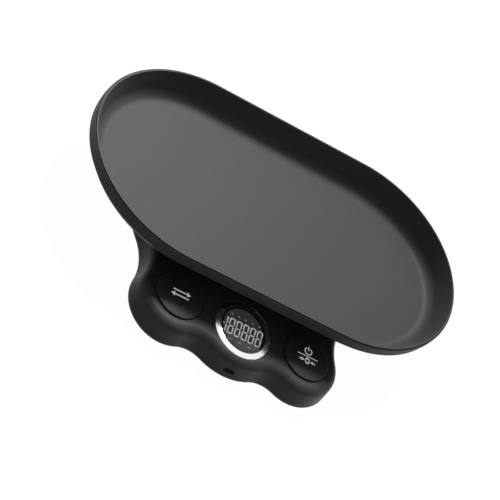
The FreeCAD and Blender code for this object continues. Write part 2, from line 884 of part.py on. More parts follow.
def board_screws():
    tip = board_height - m2_bite
    screw = (board_top, tip, m2_radius, m2_head_radius, m2_head_height, False)
    return Part.makeCompound([pan_screw(x, y, *screw) for x, y in both_sides(board_screw_spots)])


def platform():
    """The plate that carries the tray: ribbed, skirted and screwed to the load cell's free end."""
    plate = rounded_block(platform_width, platform_depth, platform_corner, platform_low, platform_top)
    inside = (platform_width - 2 * platform_skirt, platform_depth - 2 * platform_skirt)
    plate = plate.makeFillet(platform_edge_round, edges_at(plate, platform_top))
    room = rounded_block(*inside, platform_corner - platform_skirt, platform_low, platform_under)
    plate = plate.cut(room)
    added = []
    rib_low = platform_under - platform_rib_height
    half = platform_rib_wall / 2
    for y in (-platform_depth / 4, 0, platform_depth / 4):
        reach = inside[0] / 2 + weld
        added.append(box(-reach, reach, y - half, y + half, rib_low, platform_under))
    for x in (-platform_width / 3, -platform_width / 9, platform_width / 9, platform_width / 3):
        reach = inside[1] / 2 + weld
        added.append(box(x - half, x + half, -reach, reach, rib_low, platform_under))
    boss = (cell_seat_length + 2 * boss_margin, cell_side + 2 * boss_margin)
    added.append(rounded_block(*boss, seat_corner, block_top, platform_top - weld, (cell_seat_middle, 0)))
    removed = []
    for x in cell_bolt_x:
        removed.append(rod(x, 0, block_top, platform_top, m4_hole))
        removed.append(rod(x, 0, platform_top - m4_recess_depth, platform_top, m4_recess_radius))
    for x, y in pad_spots:
        removed.append(rod(x, y, platform_top - pad_sink, platform_top, pad_radius + foot_clearance))
    return joined([plate] + added).cut(joined_tools(removed))


def platform_pads():
    pads = []
    for x, y in pad_spots:
        pad = rod(x, y, platform_top - pad_sink, tray_bottom, pad_radius)
        pads.append(pad.makeChamfer(pad_edge, edges_at(pad, tray_bottom)))
    return Part.makeCompound(pads)


def rubber_foot(x, y):
    foot = rod(x, y, 0, shell_bottom + foot_sink, foot_radius)
    return foot.makeFillet(foot_edge_round, edges_at(foot, 0))


def battery_cell():
    y = battery_front
    low = floor_level + battery_pad_thickness
    half = battery_length / 2
    cell = box(-half, half, y, y + battery_width, low, low + battery_thickness)
    long_edges = [edge for edge in cell.Edges if edge.BoundBox.YLength > battery_width - near]
    return cell.makeFillet(battery_round, long_edges)


def battery_pad():
    half = battery_length / 2 - battery_pad_margin
    front = battery_front + battery_pad_margin
    back = battery_front + battery_width - battery_pad_margin
    return box(-half, half, front, back, floor_level, floor_level + battery_pad_thickness)


def lead(name, points):
    """A round lead along straight runs joined by tangent arcs."""
    spots = [Vector(*point) for point in points]
    edges = []
    last = spots[0]
    for before, here, after in zip(spots, spots[1:], spots[2:]):
        run_in = (here - before).Length
        run_out = (after - here).Length
        into = (here - before).normalize()
        out = (after - here).normalize()
        half_turn = into.getAngle(out) / 2
        tangent = bend_share * min(run_in, run_out)
        radius = tangent / tan(half_turn)
        start = here - into * tangent
        end = here + out * tangent
        inward = (out - into).normalize()
        through = here + inward * (radius / cos(half_turn) - radius)
        edges.append(line(last, start))
        edges.append(Part.Arc(start, through, end).toShape())
        last = end
        print(name, "bend radius", round(radius, 1))
    edges.append(line(last, spots[-1]))
    path = Part.Wire(edges)
    ring = Part.Wire([Part.Circle(spots[0], spots[1] - spots[0], lead_radius).toShape()])
    tube = path.makePipeShell([ring], True, True)
    print(name, "length", round(path.Length, 1), "volume error",
          round(tube.Volume / (path.Length * pi * lead_radius ** 2) - 1, 4))
    return tube


def lead_ends(side):
    """The last two points of a lead, square to its board connector's back face."""
    x = side * connector_x
    z = board_top + connector_height / 2
    return [(x, connector_face + lead_last_run, z), (x, connector_face, z)]


def load_cell_lead():
    start = (cell_lead_route[0][0], -cell_side / 2, cell_lead_route[0][2])
    return lead("load_cell_lead", [start] + list(cell_lead_route) + lead_ends(-1))


def battery_lead():
    start = (battery_length / 2, battery_lead_route[0][1], battery_lead_route[0][2])
    return lead("battery_lead", [start] + list(battery_lead_route) + lead_ends(1))


def main():
    os.makedirs("parts", exist_ok=True)
    save("tray", tray())
    save("platform", platform())
    save("platform_pads", platform_pads())
    save("load_cell", load_cell())
    save("gauge_cover", gauge_cover())
    save("cell_base_plate", cell_seat(-1, cell_seat_height, cell_low))
    save("cell_top_block", cell_seat(1, cell_high, block_top))
    save("cell_base_screws", cell_base_screws())
    save("cell_top_screws", cell_top_screws())
    save("upper_housing", upper_housing())
    save("lower_housing", lower_housing())
    save("housing_screws", housing_screws())
    save("display_ring", display_ring())
    save("display_lens", display_lens())
    save("lcd_panel", lcd_panel())
    save("display_holder", display_holder())
    save("light_guide", light_guide())
    save("main_board", main_board())
    save("board_screws", board_screws())
    save("board_connectors", board_connectors())
    save("usb_socket", usb_socket())
    save("battery_cell", battery_cell())
    save("battery_pad", battery_pad())
    save("load_cell_lead", load_cell_lead())
    save("battery_lead", battery_lead())
    for side, name in ((-1, "mode"), (1, "power")):
        save(name + "_button", button_cap(side))
        save(name + "_switch", switch_body(side))
        save(name + "_switch_plunger", switch_plunger(side))
    corners = ("rear_right", "rear_left", "front_right", "front_left")
    for corner, (x, y) in zip(corners, both_sides(foot_spots)):
        save("foot_" + corner, rubber_foot(x, y))


main()
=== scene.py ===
"""Finishes and fine pieces for a digital baby scale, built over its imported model.

The tray, the shells and the inner parts come from the model, and this file gives each of them
its material. It makes the ring, the lens, the screws, the feet and the grip pads anew with finer
detail, and adds the printed signs, the display's figures and the parts on the board. Lengths are
in metres, apart from the tables that say they are in millimetres.
"""

from functools import partial
from math import atan2, cos, pi, radians, sin, sqrt

import bmesh
import bpy
from bpy.props import FloatProperty, FloatVectorProperty, PointerProperty
from mathutils import Matrix, Vector


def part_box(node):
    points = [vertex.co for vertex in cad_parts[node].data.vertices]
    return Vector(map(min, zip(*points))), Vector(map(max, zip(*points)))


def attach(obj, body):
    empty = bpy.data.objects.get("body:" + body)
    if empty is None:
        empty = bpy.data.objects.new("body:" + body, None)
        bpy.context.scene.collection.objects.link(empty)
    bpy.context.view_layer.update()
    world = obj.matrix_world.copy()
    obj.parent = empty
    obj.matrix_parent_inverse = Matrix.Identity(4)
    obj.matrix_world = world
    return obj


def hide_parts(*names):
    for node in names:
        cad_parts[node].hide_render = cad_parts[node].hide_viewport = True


bl_info = {
    "name": "Baby Scale Finishes",
    "version": (1, 0, 0),
    "blender": (4, 5, 0),
    "location": "3D View > Sidebar > Baby Scale",
    "description": "Adds the finishes and fine pieces of a digital baby scale",
    "category": "Object",
}

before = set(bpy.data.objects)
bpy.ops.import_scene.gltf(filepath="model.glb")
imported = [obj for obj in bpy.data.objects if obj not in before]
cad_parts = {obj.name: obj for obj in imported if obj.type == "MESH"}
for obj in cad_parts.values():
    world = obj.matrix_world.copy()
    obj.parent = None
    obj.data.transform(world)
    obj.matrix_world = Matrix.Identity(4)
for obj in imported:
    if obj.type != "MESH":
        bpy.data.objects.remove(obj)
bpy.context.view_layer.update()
MM = 0.001


# ---- places taken from the model

def middle(node):
    """The middle of a node's box."""
    low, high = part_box(node)
    return (low + high) / 2


def top_of(node):
    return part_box(node)[1].z


RIM_MIDDLE = Vector((0, middle("tray").y, top_of("tray")))
BUTTONS = {"mode": middle("mode_button"), "power": middle("power_button")}
DISPLAY = middle("display_lens")


def islands(node):
    """The low and high corners of each separate piece in a node's mesh."""
    mesh = bmesh.new()
    mesh.from_mesh(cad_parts[node].data)
    bmesh.ops.remove_doubles(mesh, verts=mesh.verts, dist=0.0001 * MM)
    left = set(mesh.verts)
    boxes = []
    while left:
        reached = [left.pop()]
        found = []
        while reached:
            vertex = reached.pop()
            found.append(vertex.co.copy())
            for edge in vertex.link_edges:
                other = edge.other_vert(vertex)
                if other in left:
                    left.remove(other)
                    reached.append(other)
        low = Vector(min(spot[i] for spot in found) for i in range(3))
        high = Vector(max(spot[i] for spot in found) for i in range(3))
        boxes.append((low, high))
    mesh.free()
    return boxes


# ---- sizes and colours to change

def number(name, description, default, **kind):
    return FloatProperty(name=name, description=description, default=default, **kind)


length = partial(number, min=0, unit="LENGTH", subtype="DISTANCE", precision=5)
share = partial(number, min=0, max=1, subtype="FACTOR")
power = partial(number, min=0, subtype="POWER")
angle = partial(number, unit="ROTATION", subtype="ANGLE")


def colour(name, description, default):
    return FloatVectorProperty(name=name, description=description, default=default, size=3,
                               min=0, max=1, subtype="COLOR")


class PlasticSettings(bpy.types.PropertyGroup):
    tray: colour("Tray", "Colour of the tray's plastic", (0.063, 0.063, 0.064))
    housing: colour("Housing", "Colour of the base's two shells", (0.061, 0.061, 0.062))
    button: colour("Buttons", "Colour of the press buttons", (0.054, 0.054, 0.055))
    platform: colour("Platform", "Colour of the plate under the tray", (0.03, 0.03, 0.031))
    grain: length("Grain", "Size of the spark-eroded grain", 0.35 * MM)
    grain_depth: length("Grain depth", "Depth of the grain", 0.012 * MM)


class DisplaySettings(bpy.types.PropertyGroup):
    digit_height: length("Digit height", "Height of a display digit", 15.6 * MM)
    digit_width: length("Digit width", "Width of a display digit", 5.2 * MM)
    digit_pitch: length("Digit pitch", "Distance from one digit to the next", 6.4 * MM)
    segment: length("Segment", "Width of a digit's segment", 1.2 * MM)
    offset: FloatVectorProperty(name="Offset", default=(15.0 * MM, -1.2 * MM, 0), size=3,
                                description="Last digit's place from the display's middle",
                                unit="LENGTH", precision=5)
    lean: angle("Lean", "How far the digits lean to the right", radians(7))
    lit: colour("Lit", "Colour of the lit segments", (0.52, 0.525, 0.53))
    glass: colour("Glass", "Colour of the display behind the segments", (0.034, 0.035, 0.036))


class SignSettings(bpy.types.PropertyGroup):
    ink: colour("Ink", "Colour of the printed signs", (0.9, 0.9, 0.9))
    # The signs' glow is painted light: it brightens print that lies in the tray's shadow, and no
    # lamp lights the buttons from inside.
    glow: share("Glow", "How strongly the signs are lit from inside", 0.32)
    stroke: length("Stroke", "Width of a sign's line", 1.1 * MM)
    lift: length("Lift", "Thickness of the ink over the button", 0.03 * MM)


class StageSettings(bpy.types.PropertyGroup):
    turn: angle("Turn", "Camera's turn about the scale, from the front", radians(-30.6))
    rise: angle("Rise", "Camera's height above the horizon", radians(43.7))
    roll: angle("Roll", "Camera's roll about its line of sight", radians(49.2))
    distance: length("Distance", "Camera's distance from the middle of the tray's rim", 1.834)
    aside: length("Aside", "How far the camera stands to the left of the rim's middle", 25.7 * MM)
    below: length("Below", "How far the camera stands below the rim's middle", 32.8 * MM)
    lens: number("Lens", "Focal length on a sensor 36 mm wide", 165, subtype="DISTANCE_CAMERA")
    sky: share("Sky", "Strength of the light from all round", 0.09)
    key: power("Key lamp", "Power of the lamp behind the scale", 61)
    side: power("Side lamp", "Power of the low lamp at the right", 0.5)
    floor: share("Floor", "How pale the floor is to the light that falls on it", 0.3)
    white: share("White", "How bright the floor looks to the camera by itself", 0.975)
    shadow: share("Shadow", "How plainly the scale's shadow shows on the floor", 0.16)


GROUPS = {
    "scale_plastic": PlasticSettings,
    "scale_display": DisplaySettings,
    "scale_signs": SignSettings,
    "scale_stage": StageSettings,
}


# ---- shader maths and materials

class Signal:
    """A number between shader nodes. Arithmetic on it adds Math nodes."""

    def __init__(self, maker, socket):
        self.maker = maker
        self.socket = socket

    def math(self, operation, *others):
        sockets = dict(enumerate((self, *others)))
        return self.maker.signal("ShaderNodeMath", {"operation": operation}, sockets)

    def __add__(self, other):
        return self.math("ADD", other)

    __radd__ = __add__

    def __sub__(self, other):
        return self.math("SUBTRACT", other)

    def __rsub__(self, other):
        return self.maker.number(other).math("SUBTRACT", self)

    def __mul__(self, other):
        return self.math("MULTIPLY", other)

    __rmul__ = __mul__

    def __truediv__(self, other):
        return self.math("DIVIDE", other)

    def __rtruediv__(self, other):
        return self.maker.number(other).math("DIVIDE", self)

    def __lt__(self, other):
        return self.math("LESS_THAN", other)

    def __gt__(self, other):
        return self.math("GREATER_THAN", other)

    def __abs__(self):
        return self.math("ABSOLUTE")

    def root(self):
        return self.math("SQRT")

    def most(self, other):
        return self.math("MAXIMUM", other)

    def part(self):
        """What is left over a whole number."""
        return self.math("FRACT")

    def ramp(self, low, high):
        """0 at low and 1 at high, smooth between them."""
        settings = {"interpolation_type": "SMOOTHSTEP"}
        sockets = {"Value": self, "From Min": low, "From Max": high}
        return self.maker.signal("ShaderNodeMapRange", settings, sockets)


class Nodes:
    """A node tree that is built up node by node."""

    def __init__(self, tree):
        self.nodes = tree.nodes
        self.links = tree.links
        self.nodes.clear()

    def node(self, kind, settings=None, sockets=None):
        """Adds a node: its settings first, then the values or links of its sockets."""
        made = self.nodes.new(kind)
        for name, value in (settings or {}).items():
            setattr(made, name, value)
        for name, value in (sockets or {}).items():
            self.set(made, name, value)
        return made

    def set(self, made, name, value):
        socket = made.inputs[name]
        if isinstance(value, Signal):
            self.links.new(value.socket, socket)
        elif isinstance(value, bpy.types.NodeSocket):
            self.links.new(value, socket)
        elif socket.type == "RGBA" and len(value) == 3:
            socket.default_value = (*value, 1)
        else:
            socket.default_value = value

    def signal(self, kind, settings=None, sockets=None):
        return Signal(self, self.node(kind, settings, sockets).outputs[0])

    def number(self, value):
        made = self.node("ShaderNodeValue")
        made.outputs[0].default_value = value
        return Signal(self, made.outputs[0])

    def in_sight(self):
        """1 for a ray straight from the camera, mirrored or through glass, and 0 for others."""
        rays = self.node("ShaderNodeLightPath").outputs
        straight = Signal(self, rays["Is Camera Ray"])
        return straight.most(rays["Is Glossy Ray"]).most(rays["Is Transmission Ray"])


class Finish(Nodes):
    """A material that is built from nodes round one Principled shader."""

    def __init__(self, name):
        self.material = bpy.data.materials.new(name)
        self.material.use_nodes = True
        super().__init__(self.material.node_tree)
        self.shader = self.node("ShaderNodeBsdfPrincipled")
        self.output = self.node("ShaderNodeOutputMaterial", {}, {"Surface": self.shader.outputs[0]})
        self.coordinates = self.node("ShaderNodeTexCoord").outputs["Object"]

    def place(self, about=(0, 0, 0)):
        """Object coordinates as three signals, counted from a point."""
        made = self.node("ShaderNodeSeparateXYZ", {}, {0: self.coordinates})
        return [Signal(self, made.outputs[i]) - about[i] for i in range(3)]

    def noise(self, grain, detail=2.0, stretch=(1, 1, 1)):
        """Noise from 0 to 1 whose spots are about grain metres wide."""
        scaled = self.node("ShaderNodeMapping", {}, {"Vector": self.coordinates, "Scale": stretch})
        sockets = {"Vector": scaled.outputs[0], "Scale": 1 / grain, "Detail": detail}
        return self.signal("ShaderNodeTexNoise", {}, sockets)

    def blend(self, mask, first, second):
        """A colour that goes from first to second as the mask goes from 0 to 1."""
        factor, colour_a, colour_b, result = 0, 6, 7, 2
        made = self.node("ShaderNodeMix", {"data_type": "RGBA"})
        self.set(made, factor, mask)
        self.set(made, colour_a, first)
        self.set(made, colour_b, second)
        return made.outputs[result]

    def mix(self, mask, other):
        """Goes from the shader to another one as the mask goes from 0 to 1."""
        sockets = {0: mask, 1: self.shader.outputs[0], 2: other.outputs[0]}
        mixed = self.node("ShaderNodeMixShader", {}, sockets)
        self.set(self.output, "Surface", mixed.outputs[0])

    def relief(self, height, depth):
        """A bump whose height signal of 1 stands depth metres proud."""
        sockets = {"Height": height, "Distance": depth, "Strength": 1.0}
        made = self.node("ShaderNodeBump", {}, sockets)
        self.set(self.shader, "Normal", made.outputs[0])

    def has(self, **values):
        """Sets the shader's own sockets, such as base_color or roughness."""
        for name, value in values.items():
            self.set(self.shader, SOCKETS[name], value)


SOCKETS = {
    "base_color": "Base Color",
    "roughness": "Roughness",
    "metallic": "Metallic",
    "specular": "Specular IOR Level",
    "ior": "IOR",
    "transmission": "Transmission Weight",
    "emission": "Emission Color",
    "emission_strength": "Emission Strength",
}


def times(shade, factor):
    return tuple(channel * factor for channel in shade)


def moulded_plastic(name, roughness, gloss=0.12, seam=None):
    """Spark-eroded black plastic: fine grain, faint flow clouds and a little rubbing.

    The name is that of its colour's setting. A seam is the height of a fine groove where two
    mouldings meet.
    """
    look = bpy.context.scene.scale_plastic
    shade = getattr(look, name)
    made = Finish(name + "_plastic")
    grain = made.noise(look.grain, 3)
    clouds = made.noise(60 * MM, 2)
    rubbed = made.noise(9 * MM, 4, (1, 3.5, 1)).ramp(0.56, 0.8)
    tone = made.blend(clouds, times(shade, 0.92), times(shade, 1.08))
    tone = made.blend(rubbed * 0.35, tone, times(shade, 1.25))
    relief = grain * look.grain_depth
    if seam is not None:
        dark, edge, depth = 0.06 * MM, 0.16 * MM, 0.15 * MM
        off = abs(made.place()[2] - seam)
        tone = made.blend(off.ramp(dark, edge), times(shade, 0.15), tone)
        relief = relief + off.ramp(0.05 * MM, 0.3 * MM) * depth
    made.has(base_color=tone, specular=gloss,
             roughness=roughness + (grain - 0.5) * 0.1 + (clouds - 0.5) * 0.06 - rubbed * 0.04)
    made.relief(relief, 1.0)
    return made.material


def plain_plastic(name, shade, roughness):
    """Smooth moulded nylon or acrylic, with a faint mottle."""
    made = Finish(name)
    mottle = made.noise(4 * MM, 3)
    made.has(base_color=made.blend(mottle, times(shade, 0.9), shade),
             roughness=roughness + (mottle - 0.5) * 0.12)
    made.relief(made.noise(0.8 * MM, 2), 0.01 * MM)
    return made.material


def rubber(name, shade):
    """Matt moulded rubber with a dusty bloom."""
    made = Finish(name)
    dust = made.noise(2.5 * MM, 5).ramp(0.45, 0.75)
    made.has(base_color=made.blend(dust * 0.5, shade, times(shade, 2.2)),
             roughness=0.78 + dust * 0.12, specular=0.3)
    made.relief(made.noise(0.3 * MM, 3), 0.02 * MM)
    return made.material


def bare_metal(name, shade, roughness, along=(1, 1, 1)):
    """Metal with fine parallel marks; along is small in the direction that they run."""
    made = Finish(name)
    marks = made.noise(0.25 * MM, 3, along)
    stain = made.noise(12 * MM, 3)
    made.has(base_color=made.blend(stain, times(shade, 0.88), shade), metallic=1.0,
             roughness=roughness + (marks - 0.5) * 0.16 + (stain - 0.5) * 0.08)
    made.relief(marks, 0.004 * MM)
    return made.material


def bright_plating(name, collar):
    """Polished plating: nearly a mirror, with the faint ripple of a moulding below it.

    The plating stops at the collar, a radius within which the ring stays black.
    """
    made = Finish(name)
    black, nickel = (0.045, 0.045, 0.047), (0.86, 0.87, 0.88)
    edge = 0.03 * MM
    x, y, z = made.place(DISPLAY)
    plated = (x * x + y * y).root().ramp(collar - edge, collar + edge)
    ripple = made.noise(5 * MM, 1)
    haze = made.noise(1.5 * MM, 4).ramp(0.5, 0.8)
    made.has(base_color=made.blend(plated, black, nickel), metallic=plated,
             roughness=0.45 - plated * 0.25 + haze * 0.05)
    made.relief(ripple, 0.01 * MM)
    return made.material


# ---- modelling helpers

def start_fresh():
    """Leaves nothing selected, so that an operator acts on the new piece alone."""
    bpy.ops.object.select_all(action="DESELECT")


def start_with(piece):
    """Leaves one piece selected, and active."""
    start_fresh()
    piece.select_set(True)
    bpy.context.view_layer.objects.active = piece


def change(piece, kind, **settings):
    """Gives a piece a modifier with some settings, and applies it."""
    start_with(piece)
    modifier = piece.modifiers.new(kind.lower(), kind)
    for name, value in settings.items():
        setattr(modifier, name, value)
    bpy.ops.object.modifier_apply(modifier=modifier.name)


def turned_piece(name, profile, spot, sides, hollow=False):
    """A piece turned about an upright axis: a circle, extruded and resized along a profile.

    The profile is (radius, height) points. A hollow one runs round the section of a ring and back
    to where it starts; a solid one starts and ends with a flat face.
    """
    start_fresh()
    radius, height = profile[0]
    fill = "NOTHING" if hollow else "NGON"
    bpy.ops.mesh.primitive_circle_add(vertices=sides, radius=radius, fill_type=fill,
                                      location=(spot[0], spot[1], height))
    piece = bpy.context.object
    piece.name = name
    bpy.ops.object.mode_set(mode="EDIT")
    for new_radius, new_height in profile[1:] + profile[:1] * hollow:
        rise = (0, 0, new_height - height)
        bpy.ops.mesh.extrude_region_move(TRANSFORM_OT_translate={"value": rise})
        scale = new_radius / radius
        bpy.ops.transform.resize(value=(scale, scale, 1),
                                 center_override=(spot[0], spot[1], new_height))
        radius, height = new_radius, new_height
    bpy.ops.mesh.select_all(action="SELECT")
    bpy.ops.mesh.remove_doubles(threshold=0.001 * MM)
    bpy.ops.mesh.normals_make_consistent(inside=False)
    bpy.ops.object.mode_set(mode="OBJECT")
    return piece


def block(size, spot, turn_angle=0.0):
    """A plain block: cut with, or joined to another piece."""
    start_fresh()
    bpy.ops.mesh.primitive_cube_add(size=1, location=spot, rotation=(0, 0, turn_angle))
    piece = bpy.context.object
    piece.scale = size
    bpy.ops.object.transform_apply(location=True, rotation=True, scale=True)
    return piece


def cut_with(piece, tool):
    """Cuts one piece with another, which is used up."""
    change(piece, "BOOLEAN", operation="DIFFERENCE", solver="EXACT", object=tool)
    bpy.data.objects.remove(tool)


def screw(name, low, high, shank, head, up):
    """A pan-head screw with a cross recess. Its head is at the bottom when up is true.

    The shank's radius and the head's height are shares of the head's radius.
    """
    spot = (low + high) / 2
    head_radius = (high.x - low.x) / 2
    shank_radius = head_radius * shank
    head_height = head_radius * head
    way = 1 if up else -1
    face, tip = (low.z, high.z) if up else (high.z, low.z)
    seat = face + way * head_height
    pitch = shank_radius * 0.45
    profile = [
        (head_radius * 0.62, face), (head_radius * 0.88, face + way * head_height * 0.12),
        (head_radius, face + way * head_height * 0.45), (head_radius, seat), (shank_radius, seat),
    ]
    turns = int(abs(tip - seat) / pitch) - 1
    for i in range(1, turns):
        depth = 0.8 if i % 2 else 1.0
        profile.append((shank_radius * depth, seat + way * pitch * i))
    profile.append((shank_radius * 0.35, tip))
    piece = turned_piece(name, profile, spot, 32)
    recess = (head_radius * 0.95, head_radius * 0.24, head_height * 1.1)
    for angle in (pi / 4, pi * 3 / 4):
        cut_with(piece, block(recess, (spot.x, spot.y, face), angle))
    return piece


def screws(node, material, shank, head, up):
    """Screws with cross recesses in the places of a node's plain ones."""
    name = node + "_detailed"
    pieces = [screw(name, low, high, shank, head, up) for low, high in islands(node)]
    piece = joined(pieces, name)
    settle(piece, material, "base", 35)
    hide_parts(node)


def settle(piece, material, body, smooth=None):
    """Puts a finished piece's place in its mesh, and gives it its material and body."""
    start_with(piece)
    bpy.ops.object.transform_apply(location=True, rotation=True, scale=True)
    if smooth is not None:
        bpy.ops.object.shade_smooth_by_angle(angle=radians(smooth))
    piece.data.materials.clear()
    piece.data.materials.append(material)
    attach(piece, body)


def joined(pieces, name):
    """Several pieces as one."""
    start_fresh()
    for piece in pieces:
        piece.select_set(True)
    bpy.context.view_layer.objects.active = pieces[0]
    if len(pieces) > 1:
        bpy.ops.object.join()
    pieces[0].name = name
    return pieces[0]


def dress(nodes, material):
    """Gives model nodes a material."""
    for node in nodes:
        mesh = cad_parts[node].data
        mesh.materials.clear()
        mesh.materials.append(material)


def bar(size, spot):
    """A flat bar that lies level along X: its size is (length, width)."""
    start_fresh()
    bpy.ops.mesh.primitive_plane_add(size=1, location=spot)
    piece = bpy.context.object
    piece.scale = (size[0], size[1], 1)
    bpy.ops.object.transform_apply(location=True, rotation=True, scale=True)
    return piece


def ring_band(radius, width, spot, gap=0.0):
    """A flat ring, or one that is open towards +Y by an angle."""
    start_fresh()
    bpy.ops.mesh.primitive_circle_add(vertices=96, radius=radius + width / 2, location=spot)
    piece = bpy.context.object
    bpy.ops.object.mode_set(mode="EDIT")
    bpy.ops.mesh.extrude_region_move()
    scale = (radius - width / 2) / (radius + width / 2)
    bpy.ops.transform.resize(value=(scale, scale, 1), center_override=spot)
    bpy.ops.object.mode_set(mode="OBJECT")
    bpy.ops.object.transform_apply(location=True, rotation=True, scale=True)
    if gap:
        cut_gap(piece, spot, gap)
    return piece


def cut_gap(piece, spot, gap):
    """Deletes the faces of a flat ring that lie within a gap towards +Y."""
    mesh = bmesh.new()
    mesh.from_mesh(piece.data)
    gone = []
    for face in mesh.faces:
        seen = face.calc_center_median() - Vector(spot)
        if abs(atan2(seen.x, seen.y)) < gap / 2:
            gone.append(face)
    bmesh.ops.delete(mesh, geom=gone, context="FACES")
    mesh.to_mesh(piece.data)
    mesh.free()


def about(spot, matrix):
    """A transform that is made about a spot, which stays where it is."""
    there = Matrix.Translation(spot)
    return there @ matrix @ there.inverted()


def arrow_head(spot, size, facing):
    """A flat triangle that points one way."""
    start_fresh()
    bpy.ops.mesh.primitive_circle_add(vertices=3, radius=size, fill_type="NGON",
                                      location=spot, rotation=(0, 0, facing - pi / 2))
    piece = bpy.context.object
    bpy.ops.object.transform_apply(location=True, rotation=True, scale=True)
    return piece


# ---- operators

class SCALE_OT_stage(bpy.types.Operator):
    """Makes the camera, the lamps, the sky and the pale floor"""
    bl_idname = "baby_scale.stage"
    bl_label = "Stage"

    KEY_SPOT, KEY_AIM, KEY_SIZE = (0.2, 1.13, 1.56), (-2.5, 0, 0), 0.6
    SIDE_SPOT, SIDE_AIM, SIDE_SIZE = (0.9, -0.25, 0.12), (0.17, 0, 0.045), 0.2
    FLOOR_SIZE = 12
    FLOOR_DROP = 0.2 * MM

    def execute(self, context):
        look = context.scene.scale_stage
        context.scene.view_settings.view_transform = "Standard"
        self.camera(look)
        self.sky(look)
        self.floor(look)
        self.lamp("key_lamp", self.KEY_SPOT, self.KEY_AIM, self.KEY_SIZE, look.key)
        self.lamp("side_lamp", self.SIDE_SPOT, self.SIDE_AIM, self.SIDE_SIZE, look.side)
        return {"FINISHED"}

    def camera(self, look):
        """A camera that looks at the tray's rim, from a turn, a rise and a roll."""
        level = cos(look.rise)
        back = Vector((sin(look.turn) * level, -cos(look.turn) * level, sin(look.rise)))
        side = Vector((cos(look.turn), sin(look.turn), 0))
        up = back.cross(side)
        right = side * cos(look.roll) + up * sin(look.roll)
        over = up * cos(look.roll) - side * sin(look.roll)
        spot = RIM_MIDDLE + back * look.distance - right * look.aside - over * look.below
        start_fresh()
        bpy.ops.object.camera_add()
        camera = bpy.context.object
        camera.name = "camera"
        camera.data.sensor_width = 36
        camera.data.lens = look.lens
        facing = Matrix((right, over, back)).transposed().to_4x4()
        camera.matrix_world = Matrix.Translation(spot) @ facing
        bpy.context.scene.camera = camera

    def sky(self, look):
        """A white sky that lights the scale faintly, and is plain white where it is seen."""
        world = bpy.data.worlds.new("studio_sky")
        bpy.context.scene.world = world
        world.use_nodes = True
        made = Nodes(world.node_tree)
        sockets = {"Value": made.in_sight(), "To Min": look.sky, "To Max": 1.0}
        strength = made.signal("ShaderNodeMapRange", {}, sockets)
        sockets = {"Color": (1, 1, 1), "Strength": strength}
        sky = made.node("ShaderNodeBackground", {}, sockets)
        made.node("ShaderNodeOutputWorld", {}, {"Surface": sky.outputs[0]})

    def floor(self, look):
        """A floor that looks nearly white, and throws little light back onto the scale."""
        start_fresh()
        bpy.ops.mesh.primitive_plane_add(size=self.FLOOR_SIZE, location=(0, 0, -self.FLOOR_DROP))
        floor = bpy.context.object
        floor.name = "floor"
        made = Finish("pale_floor")
        made.has(base_color=(look.floor,) * 3, roughness=0.9, specular=0.0)
        white = made.node("ShaderNodeEmission", {}, {"Color": (1, 1, 1), "Strength": look.white})
        faint = made.node("ShaderNodeBsdfDiffuse", {}, {"Color": (look.shadow,) * 3})
        seen = made.node("ShaderNodeAddShader", {}, {0: white.outputs[0], 1: faint.outputs[0]})
        made.mix(made.in_sight(), seen)
        floor.data.materials.append(made.material)

    def lamp(self, name, spot, aim, size, watts):
        """A round lamp that faces a point."""
        start_fresh()
        bpy.ops.object.light_add(type="AREA", location=spot)
        lamp = bpy.context.object
        lamp.name = name
        lamp.data.shape = "DISK"
        lamp.data.size = size
        lamp.data.energy = watts
        lamp.rotation_euler = (Vector(aim) - Vector(spot)).to_track_quat("-Z", "Y").to_euler()


class SCALE_OT_tray(bpy.types.Operator):
    """Gives the tray its plastic"""
    bl_idname = "baby_scale.tray"
    bl_label = "Tray"

    def execute(self, context):
        dress(["tray"], moulded_plastic("tray", 0.5))
        return {"FINISHED"}


class SCALE_OT_housing(bpy.types.Operator):
    """Gives the base's two shells their plastic"""
    bl_idname = "baby_scale.housing"
    bl_label = "Housing"

    def execute(self, context):
        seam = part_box("upper_housing")[0].z
        plastic = moulded_plastic("housing", 0.42, 0.14, seam)
        dress(["upper_housing", "lower_housing"], plastic)
        return {"FINISHED"}


class SCALE_OT_platform(bpy.types.Operator):
    """Gives the platform its plastic"""
    bl_idname = "baby_scale.platform"
    bl_label = "Platform"

    def execute(self, context):
        dress(["platform"], moulded_plastic("platform", 0.55))
        return {"FINISHED"}


